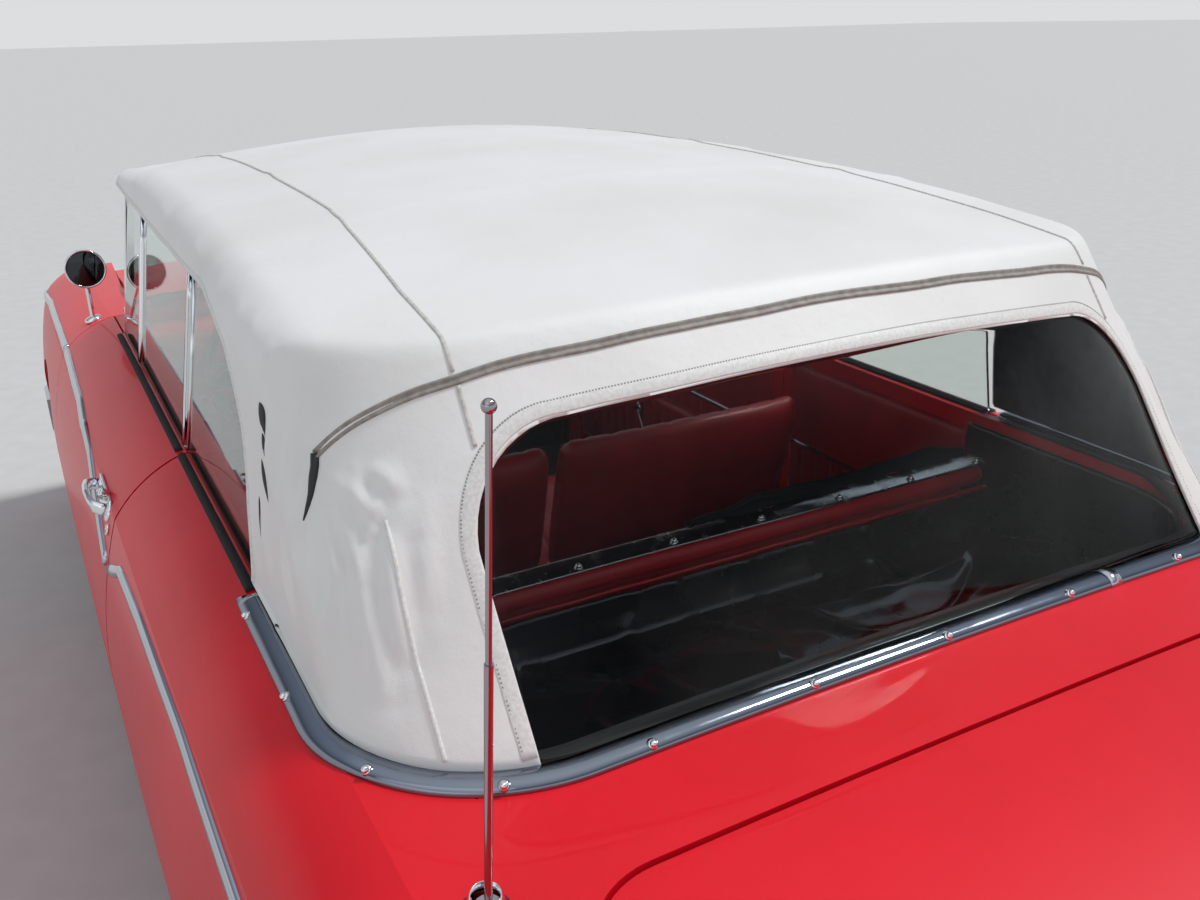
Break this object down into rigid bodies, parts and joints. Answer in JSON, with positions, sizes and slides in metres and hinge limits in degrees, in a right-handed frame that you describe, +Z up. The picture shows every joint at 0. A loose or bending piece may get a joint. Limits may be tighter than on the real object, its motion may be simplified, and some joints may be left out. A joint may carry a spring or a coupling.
{
  "type": "convertible car",
  "caption": "Full-size open touring car with a raised soft top, opening doors, hood and trunk lid, steered front wheels and rolling tyres.",
  "frame": {"origin": "on the ground under the middle of the whole car, bumpers included", "axes": "-Y towards the car's front, +X towards its left side, +Z up"},
  "size_m": [1.9308, 5.0416, 1.5289],
  "materials": {
    "body_paint": "gloss",
    "floor_paint": "satin",
    "chassis": "satin",
    "bright_trim": "polished",
    "window_glass": "polished",
    "clear_vinyl": "gloss",
    "top_cloth": "matte",
    "seat_vinyl": "satin",
    "liner_vinyl": "matte",
    "black_plastic": "gloss",
    "cast_metal": "matte",
    "steel": "satin",
    "tyre_rubber": "matte"
  },
  "bodies": {
    "car_body": {"frame_rails": "chassis", "floor_pan": "floor_paint", "cowl": "body_paint", "front_fenders": "body_paint", "nose_panel": "body_paint", "rear_body": "body_paint", "quarter_glass": "window_glass", "windshield_glass": "window_glass", "windshield_frame": "bright_trim", "soft_top": "top_cloth", "rear_window": "clear_vinyl", "top_frame": "chassis", "belt_molding": "bright_trim", "grille": "bright_trim", "front_bumper": "bright_trim", "rear_bumper": "bright_trim", "headlamps": "bright_trim", "tail_lamps": "bright_trim", "dashboard": "body_paint", "steering_wheel": "black_plastic", "front_seat": "seat_vinyl", "rear_seat": "seat_vinyl", "well_liner": "liner_vinyl", "engine_block": "cast_metal", "radiator": "chassis", "exhaust": "steel", "fuel_tank": "steel", "front_suspension": "chassis", "rear_axle": "chassis", "mirror": "bright_trim", "antenna": "bright_trim"},
    "hood_lid": {"hood": "body_paint"},
    "trunk": {"trunk_lid": "body_paint"},
    "left_door": {"door_left": "body_paint", "door_glass_left": "window_glass", "door_handle_left": "bright_trim"},
    "right_door": {"door_right": "body_paint", "door_glass_right": "window_glass", "door_handle_right": "bright_trim"},
    "left_knuckle": {"knuckle_left": "cast_metal"},
    "right_knuckle": {"knuckle_right": "cast_metal"},
    "front_left_wheel": {"tyre_front_left": "tyre_rubber", "wheel_front_left": "bright_trim"},
    "front_right_wheel": {"tyre_front_right": "tyre_rubber", "wheel_front_right": "bright_trim"},
    "rear_left_wheel": {"tyre_rear_left": "tyre_rubber", "wheel_rear_left": "bright_trim"},
    "rear_right_wheel": {"tyre_rear_right": "tyre_rubber", "wheel_rear_right": "bright_trim"}
  },
  "joints": [
    {"name": "hood_hinge", "type": "hinge", "parent": "car_body", "child": "hood_lid", "pos_m": [0, -1.34, 1.005], "axis": [-1, 0, 0], "range_deg": [0, 50]},
    {"name": "trunk_hinge", "type": "hinge", "parent": "car_body", "child": "trunk", "pos_m": [0, 1.528, 0.987], "axis": [1, 0, 0], "range_deg": [0, 60]},
    {"name": "left_door_hinge", "type": "hinge", "parent": "car_body", "child": "left_door", "pos_m": [0.966, -1.16, 0.6], "axis": [0, 0, -1], "range_deg": [0, 65]},
    {"name": "right_door_hinge", "type": "hinge", "parent": "car_body", "child": "right_door", "pos_m": [-0.966, -1.16, 0.6], "axis": [0, 0, 1], "range_deg": [0, 65]},
    {"name": "left_steering", "type": "hinge", "parent": "car_body", "child": "left_knuckle", "pos_m": [0.675, -1.661, 0.352], "axis": [0, 0, 1], "range_deg": [-28, 28]},
    {"name": "right_steering", "type": "hinge", "parent": "car_body", "child": "right_knuckle", "pos_m": [-0.675, -1.661, 0.352], "axis": [0, 0, 1], "range_deg": [-28, 28]},
    {"name": "front_left_spin", "type": "hinge", "parent": "left_knuckle", "child": "front_left_wheel", "pos_m": [0.7365, -1.661, 0.352], "axis": [1, 0, 0], "continuous": true},
    {"name": "front_right_spin", "type": "hinge", "parent": "right_knuckle", "child": "front_right_wheel", "pos_m": [-0.7365, -1.661, 0.352], "axis": [1, 0, 0], "continuous": true},
    {"name": "rear_left_spin", "type": "hinge", "parent": "car_body", "child": "rear_left_wheel", "pos_m": [0.711, 1.273, 0.352], "axis": [1, 0, 0], "continuous": true},
    {"name": "rear_right_spin", "type": "hinge", "parent": "car_body", "child": "rear_right_wheel", "pos_m": [-0.711, 1.273, 0.352], "axis": [1, 0, 0], "continuous": true}
  ],
  "couplings": [
    {"joint": "right_steering", "follows": "left_steering", "ratio": 1}
  ]
}
